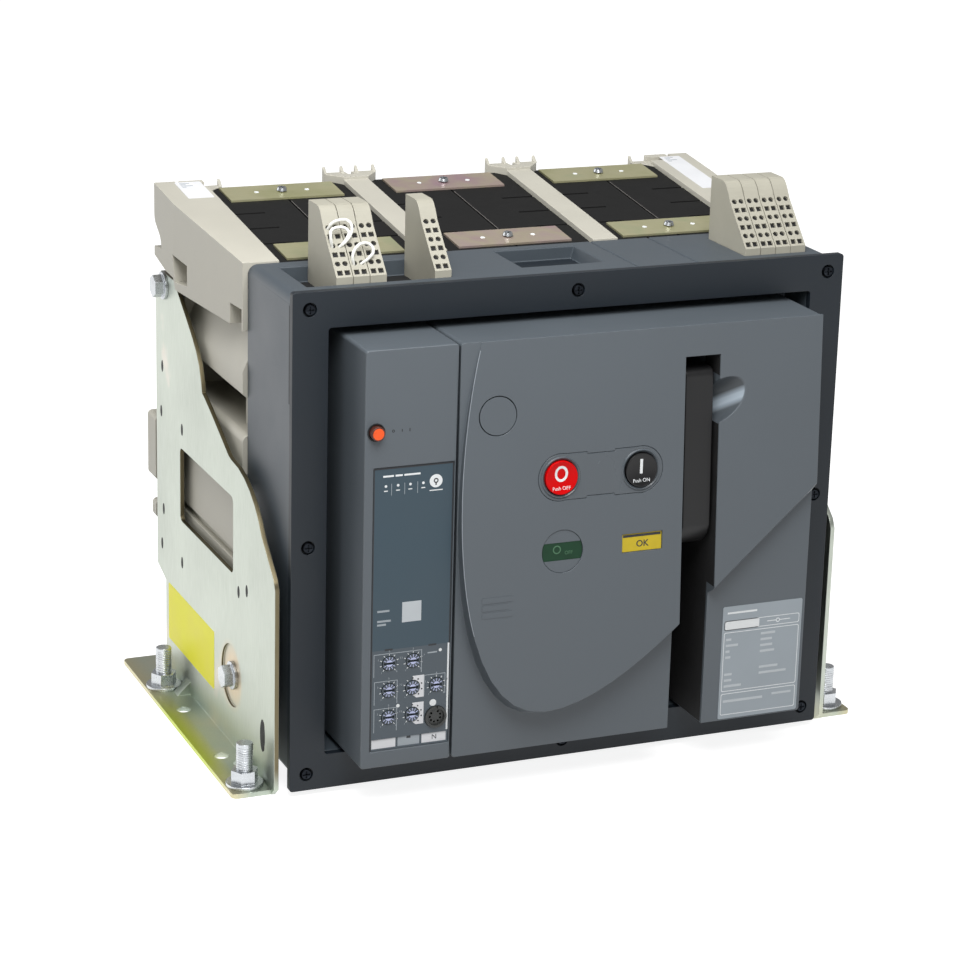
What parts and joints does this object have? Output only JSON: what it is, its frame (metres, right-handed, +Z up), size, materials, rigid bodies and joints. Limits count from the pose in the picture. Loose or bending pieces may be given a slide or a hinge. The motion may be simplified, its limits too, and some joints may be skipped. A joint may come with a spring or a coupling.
{
  "type": "fixed low-voltage air circuit breaker with door frame",
  "caption": "Fixed three-pole air circuit breaker on steel side brackets, with a door frame, raised control panel, push-buttons, charging handle, trip unit and rear terminals.",
  "frame": {"origin": "on the floor, below the middle of the breaker's box", "axes": "+X to the right seen from the front, +Y to the back, +Z up"},
  "size_m": [0.422, 0.315, 0.349],
  "materials": {
    "beige_case": "satin moulded thermoset",
    "arc_chute": "matt",
    "zinc_steel": "zinc plated, yellow passivated",
    "dark_housing": "fine moulded texture",
    "slate_cover": "satin moulded",
    "trip_plate": "printed film",
    "black_plastic": "satin",
    "dial_white": "satin",
    "orange_button": "gloss",
    "red_button": "gloss",
    "black_button": "gloss",
    "green_window": "gloss",
    "yellow_window": "gloss",
    "block_grey": "satin",
    "wire_white": "gloss",
    "zinc_bright": "bright zinc",
    "copper": "silver-plated copper"
  },
  "bodies": {
    "breaker": {"rear_case": "beige_case", "upper_case": "beige_case", "arc_chute_left": "arc_chute", "arc_chute_centre": "arc_chute", "arc_chute_right": "arc_chute", "arc_chute_clamps": "zinc_steel", "front_housing": "dark_housing", "door_frame": "dark_housing", "front_cover": "slate_cover", "trip_unit_cover": "slate_cover", "trip_unit": "trip_plate", "test_connector": "black_plastic", "button_bezel": "slate_cover", "lock_blank": "slate_cover", "contact_indicator": "green_window", "spring_indicator": "yellow_window", "terminal_block_left": "block_grey", "terminal_block_middle": "block_grey", "terminal_block_right": "block_grey", "jumper_wires": "wire_white", "left_bracket": "zinc_steel", "right_bracket": "zinc_steel", "bracket_bolts": "zinc_bright", "foot_studs": "zinc_bright", "upper_terminals": "copper", "lower_terminals": "copper"},
    "charging_handle": {"charging_handle": "black_plastic"},
    "off_button": {"off_button": "red_button"},
    "on_button": {"on_button": "black_button"},
    "reset_button": {"reset_button": "orange_button"},
    "dial_1": {"dial_1": "dial_white"},
    "dial_2": {"dial_2": "dial_white"},
    "dial_3": {"dial_3": "dial_white"},
    "dial_4": {"dial_4": "dial_white"},
    "dial_5": {"dial_5": "dial_white"},
    "dial_6": {"dial_6": "dial_white"},
    "dial_7": {"dial_7": "dial_white"}
  },
  "joints": [
    {"name": "charging_handle_pull", "type": "hinge", "parent": "breaker", "child": "charging_handle", "pos_m": [0.0665, -0.1225, 0.154], "axis": [1, 0, 0], "range_deg": [0, 90], "stiffness_Nm_per_rad": 0.6, "springref_deg": -28.65},
    {"name": "off_button_press", "type": "slide", "parent": "breaker", "child": "off_button", "axis": [0, 0.9988, -0.0497], "range_m": [0, 0.004], "stiffness_N_per_m": 500, "springref_m": -0.008},
    {"name": "on_button_press", "type": "slide", "parent": "breaker", "child": "on_button", "axis": [0, 0.9988, -0.0497], "range_m": [0, 0.004], "stiffness_N_per_m": 500, "springref_m": -0.008},
    {"name": "reset_button_press", "type": "slide", "parent": "breaker", "child": "reset_button", "axis": [0, 1, 0], "range_m": [0, 0.003], "stiffness_N_per_m": 300, "springref_m": -0.006},
    {"name": "dial_1_turn", "type": "hinge", "parent": "breaker", "child": "dial_1", "pos_m": [-0.129, -0.1445, 0.0935], "axis": [0, 1, 0], "range_deg": [-135, 135]},
    {"name": "dial_2_turn", "type": "hinge", "parent": "breaker", "child": "dial_2", "pos_m": [-0.114, -0.1445, 0.0935], "axis": [0, 1, 0], "range_deg": [-135, 135]},
    {"name": "dial_3_turn", "type": "hinge", "parent": "breaker", "child": "dial_3", "pos_m": [-0.129, -0.1445, 0.0765], "axis": [0, 1, 0], "range_deg": [-135, 135]},
    {"name": "dial_4_turn", "type": "hinge", "parent": "breaker", "child": "dial_4", "pos_m": [-0.114, -0.1445, 0.0765], "axis": [0, 1, 0], "range_deg": [-135, 135]},
    {"name": "dial_5_turn", "type": "hinge", "parent": "breaker", "child": "dial_5", "pos_m": [-0.099, -0.1445, 0.0765], "axis": [0, 1, 0], "range_deg": [-135, 135]},
    {"name": "dial_6_turn", "type": "hinge", "parent": "breaker", "child": "dial_6", "pos_m": [-0.129, -0.1445, 0.0595], "axis": [0, 1, 0], "range_deg": [-135, 135]},
    {"name": "dial_7_turn", "type": "hinge", "parent": "breaker", "child": "dial_7", "pos_m": [-0.114, -0.1445, 0.0595], "axis": [0, 1, 0], "range_deg": [-135, 135]}
  ]
}
